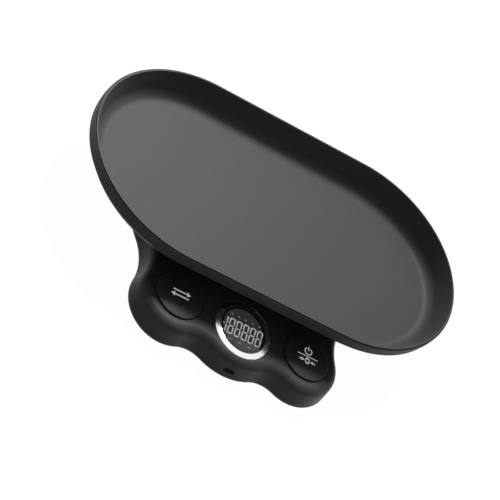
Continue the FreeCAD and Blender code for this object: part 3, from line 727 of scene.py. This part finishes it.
class SCALE_OT_buttons(bpy.types.Operator):
    """Gives the press buttons their plastic and their printed signs"""
    bl_idname = "baby_scale.buttons"
    bl_label = "Buttons"

    # Sizes, and places from a button's middle, in millimetres
    ARROW_ROW, ARROW_SHIFT, ARROW_TIP = 2.1, 1.1, 6.4
    ARROW_LENGTH, ARROW_HEAD = 12.5, 2.5
    POWER_RING, POWER_RING_Y = 3.2, 5.1
    POWER_PIN, POWER_PIN_Y = 4.0, 7.5
    RULE_LENGTH = 19
    ZERO_RING, ZERO_Y = 1.7, -4.3
    ZERO_HEAD, ZERO_HEAD_X = 1.9, 4.5
    ZERO_SHAFT, ZERO_SHAFT_X = 2.6, 6.4
    # How much taller than wide the zero is
    ZERO_STRETCH = 1.35
    # Half of a sign's width, which is cut every millimetre
    REACH = 10

    def execute(self, context):
        look = context.scene.scale_signs
        dress(["mode_button", "power_button"], moulded_plastic("button", 0.4, 0.14))
        ink = self.ink(look)
        self.print_on("mode", self.mode_sign(look.stroke), ink, look.lift)
        self.print_on("power", self.power_sign(look.stroke), ink, look.lift)
        return {"FINISHED"}

    def ink(self, look):
        """White print with a faint glow of painted light, which lifts it out of the tray's shadow.
        """
        made = Finish("sign_ink")
        mottle = made.noise(3 * MM, 3)
        shade = made.blend(mottle, times(look.ink, 0.92), look.ink)
        # Painted light: the emission makes the print glow as if lit, though nothing lights it.
        made.has(base_color=shade, roughness=0.45 + mottle * 0.1, emission=shade,
                 emission_strength=look.glow)
        return made.material

    def over(self, key, x, y):
        """A point just over a button, x and y millimetres from its middle."""
        spot = BUTTONS[key]
        return (spot.x + x * MM, spot.y + y * MM, top_of(key + "_button") + 1 * MM)

    def mode_sign(self, stroke):
        """Two arrows that point opposite ways, one over the other: change to another setting."""
        pieces = []
        for side, facing in ((-1, pi), (1, 0)):
            row = side * self.ARROW_ROW
            shaft = self.over("mode", -side * self.ARROW_SHIFT, row)
            head = self.over("mode", side * self.ARROW_TIP, row)
            pieces += [bar((self.ARROW_LENGTH * MM, stroke * 1.2), shaft),
                       arrow_head(head, self.ARROW_HEAD * MM, facing)]
        return joined(pieces, "mode_sign")

    def power_sign(self, stroke):
        """A power sign over a line, with a sign for back to zero below it."""
        gap = radians(70)
        ring_spot = self.over("power", 0, self.POWER_RING_Y)
        pin_spot = self.over("power", 0, self.POWER_PIN_Y)
        zero_spot = self.over("power", 0, self.ZERO_Y)
        zero = ring_band(self.ZERO_RING * MM, stroke, zero_spot)
        taller = Matrix.Diagonal((1, self.ZERO_STRETCH, 1, 1))
        zero.data.transform(about(zero_spot, taller))
        pieces = [
            ring_band(self.POWER_RING * MM, stroke, ring_spot, gap),
            bar((stroke, self.POWER_PIN * MM), pin_spot),
            bar((self.RULE_LENGTH * MM, stroke * 0.75), self.over("power", 0, 0)),
            zero,
        ]
        for side, facing in ((-1, 0), (1, pi)):
            shaft = self.over("power", side * self.ZERO_SHAFT_X, self.ZERO_Y)
            head = self.over("power", side * self.ZERO_HEAD_X, self.ZERO_Y)
            pieces += [bar((self.ZERO_SHAFT * MM, stroke), shaft),
                       arrow_head(head, self.ZERO_HEAD * MM, facing)]
        return joined(pieces, "power_sign")

    def print_on(self, key, sign, ink, lift):
        """Cuts a flat sign fine enough to follow the button's crown, and drops it onto it."""
        start_with(sign)
        bpy.ops.object.mode_set(mode="EDIT")
        spot = BUTTONS[key]
        for step in range(-self.REACH, self.REACH + 1):
            bpy.ops.mesh.select_all(action="SELECT")
            bpy.ops.mesh.bisect(plane_co=(spot.x + step * MM, spot.y, spot.z), plane_no=(1, 0, 0))
        bpy.ops.object.mode_set(mode="OBJECT")
        change(sign, "SHRINKWRAP", target=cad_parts[key + "_button"],
               wrap_method="PROJECT", use_project_z=True, use_negative_direction=True,
               use_positive_direction=False, offset=lift)
        settle(sign, ink, key + "_key")


class SCALE_OT_display(bpy.types.Operator):
    """Makes the bright ring, and gives the lens and the display their figures and finishes"""
    bl_idname = "baby_scale.display"
    bl_label = "Display"

    BLACK = (0.0, 0.0, 0.0)
    # Radius in which the lens is clear
    CLEAR = 18.75 * MM
    # Sides of the ring and the lens
    SIDES = 192

    def execute(self, context):
        self.ring()
        self.lens()
        look = context.scene.scale_display
        self.glass(look)
        self.figures(look)
        return {"FINISHED"}

    def glass(self, look):
        """The negative display: black glass that a little of the light behind comes through."""
        made = Finish("display_glass")
        leak = made.noise(9 * MM, 1)
        made.has(base_color=self.BLACK, roughness=0.5, specular=0.0, emission_strength=1.0,
                 emission=made.blend(leak, times(look.glass, 0.85), look.glass))
        dress(["lcd_panel"], made.material)

    def ring(self):
        """A spun bezel: a straight slope from the panel up to a rounded inner edge."""
        low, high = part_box("display_ring")
        lens_low, lens_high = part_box("display_lens")
        outer = (high.x - low.x) / 2
        bore = (lens_high.x - lens_low.x) / 2 + 0.15 * MM
        collar = bore + 1 * MM
        panel = high.z - 1.2 * MM
        neck = outer - 2 * MM
        ledge = bore - 1 * MM
        rounded = 0.15 * MM
        profile = [
            (outer, panel), (outer, panel + 0.1 * MM), (outer - 0.06 * MM, panel + 0.2 * MM),
            (outer - 0.2 * MM, panel + 0.28 * MM), (collar + rounded, high.z - 0.02 * MM),
            (collar, high.z), (collar - rounded, high.z - 0.06 * MM), (bore, high.z - 0.2 * MM),
            (bore, lens_low.z), (ledge, lens_low.z), (ledge, low.z), (neck, low.z), (neck, panel),
        ]
        ring = turned_piece("display_bezel", profile, DISPLAY, self.SIDES, True)
        plating = bright_plating("ring_plating", collar + 0.05 * MM)
        settle(ring, plating, "base", 30)
        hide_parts("display_ring")

    def lens(self):
        """A clear disc with a bevelled rim and a black printed border."""
        made = Finish("lens_acrylic")
        haze = made.noise(6 * MM, 3)
        tint = made.blend(haze, (0.8, 0.81, 0.82), (0.84, 0.85, 0.86))
        made.has(base_color=tint, roughness=0.0, transmission=1.0, ior=1.49)
        x, y, z = made.place(DISPLAY)
        border = (x * x + y * y).root().ramp(self.CLEAR, self.CLEAR + 0.1 * MM)
        sockets = {"Base Color": (0.012, 0.012, 0.013), "Roughness": 0.12}
        made.mix(border, made.node("ShaderNodeBsdfPrincipled", {}, sockets))
        low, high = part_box("display_lens")
        edge = (high.x - low.x) / 2
        under = low.z + 0.12 * MM
        bevel = 0.35 * MM
        profile = [(edge, under), (edge, high.z - bevel), (edge - 0.1 * MM, high.z - 0.12 * MM),
                   (edge - bevel, high.z)]
        lens = turned_piece("display_window", profile, DISPLAY, self.SIDES)
        settle(lens, made.material, "base", 30)
        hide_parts("display_lens")

    def segment(self, long, wide, spot, upright):
        """One lit segment: a hexagon, drawn out and wider at one end."""
        corner = wide / sqrt(3)
        start_fresh()
        bpy.ops.mesh.primitive_circle_add(vertices=6, radius=corner, fill_type="NGON",
                                          location=spot, rotation=(0, 0, pi / 2 * upright))
        piece = bpy.context.object
        bpy.ops.object.transform_apply(location=True, rotation=True, scale=True)
        axis = 1 if upright else 0
        for vertex in piece.data.vertices:
            way = 1 if vertex.co[axis] > spot[axis] else -1
            vertex.co[axis] += way * (long / 2 - corner)
        return piece

    def figure(self, look, x, z, parts=None):
        """A digit at x, made of the named segments, or of them all."""
        half = look.digit_height / 2
        edge = half - look.segment / 2
        reach = (look.digit_width - look.segment) / 2
        quarter = half / 2
        run = half - look.segment * 0.75
        places = {
            "top": (0, edge, False),
            "middle": (0, 0, False),
            "bottom": (0, -edge, False),
            "upper_left": (-reach, quarter, True),
            "lower_left": (-reach, -quarter, True),
            "upper_right": (reach, quarter, True),
            "lower_right": (reach, -quarter, True),
        }
        pieces = []
        for part in parts or places:
            dx, dy, upright = places[part]
            long = run if upright else look.digit_width - look.segment * 1.3
            spot = (x + dx, DISPLAY.y + look.offset[1] + dy, z)
            pieces.append(self.segment(long, look.segment, spot, upright))
        return pieces

    def marks(self, look, z):
        """Small pointers in a row over the digits, and bars in a row below them."""
        over, below = 10.3 * MM, 13.2 * MM
        pieces = []
        for place in (-2, -1, 0, 1, 2):
            x = DISPLAY.x + place * look.digit_pitch
            pieces.append(arrow_head((x, DISPLAY.y + over, z), 1.15 * MM, -pi / 2))
        for place in (-1, 0, 1):
            x = DISPLAY.x + place * look.digit_pitch * 1.4
            pieces.append(bar((3.2 * MM, 0.9 * MM), (x, DISPLAY.y - below, z)))
        return pieces

    def figures(self, look):
        """Five whole eights, a one and a minus sign, with the marks, all leaning to the right."""
        z = top_of("lcd_panel") + 0.04 * MM
        eights = 5
        pieces = []
        last = DISPLAY + Vector(look.offset)
        for place in range(eights):
            pieces += self.figure(look, last.x - place * look.digit_pitch, z)
        one = last.x - eights * look.digit_pitch
        pieces += self.figure(look, one, z, ("upper_right", "lower_right"))
        minus = (one - 0.9 * MM, last.y, z)
        pieces.append(self.segment(3.2 * MM, look.segment, minus, False))
        pieces += self.marks(look, z)
        digits = joined(pieces, "display_figures")
        lean = Matrix.Identity(4)
        lean[0][1] = look.lean
        digits.data.transform(about(DISPLAY, lean))
        glow = Finish("lit_segments")
        mottle = glow.noise(2 * MM, 2)
        off_row = abs(glow.place(last)[1]).ramp(8.4 * MM, 8.6 * MM)
        shade = glow.blend(mottle, times(look.lit, 0.92), look.lit)
        shade = glow.blend(off_row, shade, times(look.lit, 0.45))
        glow.has(base_color=self.BLACK, roughness=0.5, specular=0.0, emission=shade,
                 emission_strength=1.0)
        settle(digits, glow.material, "base")


class SCALE_OT_fasteners(bpy.types.Operator):
    """Makes the screws with their cross recesses"""
    bl_idname = "baby_scale.fasteners"
    bl_label = "Fasteners"

    # Node: the shank's radius and the head's height as shares of the head's radius, and
    # whether the head is at the bottom
    SCREWS = {
        "cell_base_screws": (0.56, 0.66, True),
        "cell_top_screws": (0.56, 0.66, False),
        "housing_screws": (0.45, 0.75, True),
        "board_screws": (0.45, 0.65, False),
    }

    def execute(self, context):
        zinc = bare_metal("zinc_steel", (0.56, 0.56, 0.58), 0.32)
        for node, (shank, head, up) in self.SCREWS.items():
            screws(node, zinc, shank, head, up)
        dress(["cell_base_plate"], zinc)
        return {"FINISHED"}


class SCALE_OT_feet(bpy.types.Operator):
    """Makes the rubber feet and the platform's grip pads"""
    bl_idname = "baby_scale.feet"
    bl_label = "Feet and pads"

    def execute(self, context):
        black = rubber("foot_rubber", (0.022, 0.022, 0.022))
        for corner in ("rear_right", "rear_left", "front_right", "front_left"):
            self.foot("foot_" + corner, black)
        self.pads(rubber("pad_silicone", (0.09, 0.09, 0.095)))
        return {"FINISHED"}

    def foot(self, node, material):
        """A foot with a rounded edge and a ring groove in its sole."""
        low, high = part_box(node)
        radius = (high.x - low.x) / 2
        sole = low.z
        groove = sole + 0.4 * MM
        profile = [
            (radius, high.z), (radius, sole + 0.6 * MM), (radius - 0.2 * MM, sole + 0.2 * MM),
            (radius - 0.6 * MM, sole), (radius * 0.66, sole), (radius * 0.62, groove),
            (radius * 0.5, groove), (radius * 0.46, sole), (radius * 0.02, sole),
        ]
        piece = turned_piece(node + "_turned", profile, (low + high) / 2, 96)
        settle(piece, material, "base", 30)
        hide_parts(node)

    def pads(self, material):
        """Pads with a raised rim and rings on top."""
        pieces = []
        for low, high in islands("platform_pads"):
            radius = (high.x - low.x) / 2
            top = high.z
            groove = top - 0.3 * MM
            profile = [(radius, low.z), (radius, top - 0.4 * MM),
                       (radius - 0.1 * MM, top - 0.15 * MM), (radius - 0.4 * MM, top)]
            for ring in range(3):
                edge = radius * (0.84 - ring * 0.26)
                profile += [(edge, top), (edge - 0.15 * MM, groove), (edge - 0.7 * MM, groove),
                            (edge - 0.85 * MM, top)]
            profile.append((radius * 0.02, top))
            pieces.append(turned_piece("pad", profile, (low + high) / 2, 96))
        piece = joined(pieces, "grip_pads")
        settle(piece, material, "base", 30)
        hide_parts("platform_pads")


class SCALE_OT_inner_parts(bpy.types.Operator):
    """Gives the parts inside the base their finishes"""
    bl_idname = "baby_scale.inner_parts"
    bl_label = "Inner parts"

    def execute(self, context):
        alloy = bare_metal("milled_alloy", (0.75, 0.76, 0.78), 0.34, (0.08, 1, 1))
        black_nylon = plain_plastic("black_nylon", (0.03, 0.03, 0.03), 0.45)
        grey_nylon = plain_plastic("grey_nylon", (0.3, 0.3, 0.3), 0.4)
        white_nylon = plain_plastic("white_nylon", (0.75, 0.74, 0.7), 0.4)
        dress(["load_cell", "cell_top_block"], alloy)
        dress(["usb_socket"], self.socket())
        dress(["gauge_cover"], rubber("potting", (0.6, 0.6, 0.57)))
        dress(["display_holder", "board_connectors"], white_nylon)
        dress(["light_guide"], plain_plastic("clear_acrylic", (0.8, 0.82, 0.83), 0.1))
        dress(["main_board"], self.board())
        dress(["mode_switch", "power_switch"], black_nylon)
        dress(["mode_switch_plunger", "power_switch_plunger"], grey_nylon)
        dress(["battery_cell"], bare_metal("battery_foil", (0.7, 0.71, 0.73), 0.38))
        dress(["battery_pad"], rubber("black_foam", (0.04, 0.04, 0.04)))
        dress(["load_cell_lead", "battery_lead"], rubber("lead_jacket", (0.05, 0.05, 0.052)))
        return {"FINISHED"}

    def board(self):
        """Green solder mask over copper traces that run along X or Y, patch by patch."""
        pitch, half_width = 0.8 * MM, 0.16
        made = Finish("solder_mask")
        x, y, z = made.place()
        patch = made.noise(9 * MM, 0) > 0.5
        across = abs((x / pitch).part() - 0.5) < half_width
        along = abs((y / pitch).part() - 0.5) < half_width
        trace = across * patch + along * (1 - patch)
        mottle = made.noise(4 * MM, 3)
        tone = made.blend(mottle, (0.010, 0.085, 0.032), (0.012, 0.1, 0.038))
        made.has(base_color=made.blend(trace, tone, (0.018, 0.15, 0.055)),
                 roughness=0.28 + mottle * 0.08)
        made.relief(trace, 0.035 * MM)
        return made.material

    def socket(self):
        """Nickel outside, darkened well below bright nickel as painted shade of the port's slot,
        with a black tongue that carries a row of gold contacts.
        """
        pitch, row_half, contact_half = 0.5 * MM, 2.7 * MM, 1.6 * MM
        made = Finish("socket_metal")
        low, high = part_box("usb_socket")
        x, y, z = made.place((low + high) / 2)
        tongue = (abs(x) < 3.37 * MM) * (abs(z) < 0.37 * MM)
        row = ((x / pitch + 0.25).part() < 0.5) * (abs(x) < row_half)
        contacts = tongue * row * (abs(y + (high.y - low.y) * 0.15) < contact_half)
        stain = made.noise(1.5 * MM, 3)
        # Painted shade: the nickel is kept this dark so that the port's mouth reads as a shaded
        # slot.
        tone = made.blend(stain, (0.13, 0.13, 0.125), (0.17, 0.17, 0.165))
        tone = made.blend(tongue, tone, (0.012, 0.012, 0.012))
        made.has(base_color=made.blend(contacts, tone, (0.35, 0.23, 0.09)),
                 metallic=1.0 - tongue + contacts, roughness=0.3 + stain * 0.15)
        return made.material


class SCALE_OT_board_parts(bpy.types.Operator):
    """Makes the chips and small parts that are soldered to the main board"""
    bl_idname = "baby_scale.board_parts"
    bl_label = "Board parts"

    # x, y, length, width, height, legs on a side, their pitch, sides with legs, all in mm
    CHIPS = (
        (-9, -79, 7, 7, 1.2, 8, 0.8, 4),
        (13, -70, 9.9, 3.9, 1.25, 7, 1.27, 2),
        (14, -89, 4.9, 3.9, 1.2, 4, 1.27, 2),
        (2, -96, 2.9, 1.6, 0.9, 3, 0.95, 2),
    )
    # length, width and height of a small part
    SMALL_SIZE = (2.0, 1.25, 0.6)
    # x, y and whether it lies along X
    SMALL_PARTS = (
        (-17, -84, False), (-17, -80, False), (-17, -76, False), (-9, -88, True), (-5, -88, True),
        (-1, -88, True), (-14, -69, True), (-10, -69, True), (-6, -69, True), (1, -78, False),
        (1, -74, False), (22, -70, False), (22, -74, False), (6, -64, True), (12, -64, True),
        (18, -64, True), (20, -86, False), (20, -90, False), (-3, -96, False), (-7, -96, False),
    )
    # x, y, length, width and height of the two blocks on top
    TALL_PARTS = ((29, -78, 3.5, 2.8, 1.4), (-29, -78, 3.5, 2.8, 1.4))
    # the clock crystal's can
    CRYSTAL_SIZE, CRYSTAL_SPOT = (3.2, 2.5, 0.8), (-1, -83)
    # a leg's thickness, its width as a share of the pitch, and its gap to the board
    LEG_THICKNESS, LEG_WIDTH, LEG_GAP = 0.15, 0.4, 0.08
    # the lengths of its three runs, and of the part within the chip
    LEG_SHOULDER, LEG_BEND, LEG_FOOT, LEG_ROOT = 0.5, 0.15, 0.45, 0.25

    def execute(self, context):
        low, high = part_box("main_board")
        epoxy = []
        tin = []
        for x, y, long, wide, tall, count, pitch, sides in self.CHIPS:
            epoxy.append(self.body((long, wide, tall), (x, y), low.z, -1))
            reaches = (wide / 2, long / 2) * 2
            facings = (pi / 2, 0, -pi / 2, pi)
            for side in range(0, 4, 4 // sides):
                row = self.legs(count, pitch, reaches[side], tall)
                chip = Matrix.Translation((x * MM, y * MM, low.z - tall * MM / 2))
                row.data.transform(chip @ Matrix.Rotation(facings[side], 4, "Z"))
                tin.append(row)
        for x, y, level in self.SMALL_PARTS:
            self.two_ended(self.SMALL_SIZE, (x, y), level, low.z, -1, epoxy, tin)
        for x, y, long, wide, tall in self.TALL_PARTS:
            self.two_ended((long, wide, tall), (x, y), False, high.z, 1, epoxy, tin)
        tin.append(self.body(self.CRYSTAL_SIZE, self.CRYSTAL_SPOT, low.z, -1))
        black = plain_plastic("chip_epoxy", (0.02, 0.02, 0.021), 0.5)
        bright = bare_metal("tin_plate", (0.62, 0.62, 0.63), 0.35)
        settle(joined(epoxy, "board_chips"), black, "base", 30)
        settle(joined(tin, "board_leads"), bright, "base", 30)
        return {"FINISHED"}

    def body(self, size, spot, face, way):
        """A block with bevelled edges that stands on one face of the board, up or down."""
        long, wide, tall = (amount * MM for amount in size)
        piece = block((long, wide, tall), (spot[0] * MM, spot[1] * MM, face + way * tall / 2))
        change(piece, "BEVEL", width=0.12 * MM, segments=2)
        return piece

    def two_ended(self, size, spot, level, face, way, epoxy, tin):
        """A small part whose two ends are tinned."""
        long, wide, tall = size
        end_length, sunk, inset = 0.4, 0.04, 0.15
        off = (long - end_length) / 2
        middle_size = (long - 2 * inset, wide - sunk, tall - sunk)
        end_size = (end_length, wide, tall)
        if not level:
            middle_size = (middle_size[1], middle_size[0], middle_size[2])
            end_size = (end_size[1], end_size[0], end_size[2])
        epoxy.append(self.body(middle_size, spot, face, way))
        for end in (-off, off):
            there = (spot[0] + end * level, spot[1] + end * (not level))
            tin.append(self.body(end_size, there, face, way))

    def legs(self, count, pitch, reach, height):
        """A row of bent legs that leave an upside-down chip towards +X. Sizes are in mm."""
        start_fresh()
        bpy.ops.mesh.primitive_plane_add(size=1, rotation=(0, pi / 2, 0))
        piece = bpy.context.object
        piece.scale = (self.LEG_THICKNESS * MM, self.LEG_WIDTH * pitch * MM, 1)
        bpy.ops.object.transform_apply(location=True, rotation=True, scale=True)
        fall = height / 2 - self.LEG_GAP
        bpy.ops.object.mode_set(mode="EDIT")
        for run, rise in ((self.LEG_SHOULDER, 0), (self.LEG_BEND, fall), (self.LEG_FOOT, 0)):
            step = (run * MM, 0, rise * MM)
            bpy.ops.mesh.extrude_region_move(TRANSFORM_OT_translate={"value": step})
        bpy.ops.mesh.select_all(action="SELECT")
        bpy.ops.mesh.normals_make_consistent(inside=False)
        bpy.ops.object.mode_set(mode="OBJECT")
        change(piece, "ARRAY", count=count, use_relative_offset=False,
               use_constant_offset=True, constant_offset_displace=(0, pitch * MM, 0))
        first = ((reach - self.LEG_ROOT) * MM, -pitch * MM * (count - 1) / 2, 0)
        piece.data.transform(Matrix.Translation(first))
        return piece


class SCALE_PT_panel(bpy.types.Panel):
    """Lists the scale's pieces in the sidebar"""
    bl_idname = "SCALE_PT_panel"
    bl_label = "Baby Scale"
    bl_space_type = "VIEW_3D"
    bl_region_type = "UI"
    bl_category = "Baby Scale"

    def draw(self, context):
        for operator in OPERATORS:
            self.layout.operator(operator.bl_idname)
        for group, kind in GROUPS.items():
            box = self.layout.box()
            for name in kind.__annotations__:
                box.prop(getattr(context.scene, group), name)


OPERATORS = (
    SCALE_OT_stage,
    SCALE_OT_tray,
    SCALE_OT_housing,
    SCALE_OT_platform,
    SCALE_OT_buttons,
    SCALE_OT_display,
    SCALE_OT_fasteners,
    SCALE_OT_feet,
    SCALE_OT_inner_parts,
    SCALE_OT_board_parts,
)


def register():
    for group, kind in GROUPS.items():
        bpy.utils.register_class(kind)
        setattr(bpy.types.Scene, group, PointerProperty(type=kind))
    for kind in (*OPERATORS, SCALE_PT_panel):
        bpy.utils.register_class(kind)


def unregister():
    for kind in (SCALE_PT_panel, *reversed(OPERATORS)):
        bpy.utils.unregister_class(kind)
    for group, kind in GROUPS.items():
        delattr(bpy.types.Scene, group)
        bpy.utils.unregister_class(kind)


def main():
    register()
    for operator in OPERATORS:
        group, name = operator.bl_idname.split(".")
        getattr(getattr(bpy.ops, group), name)()


if __name__ == "__main__":
    main()
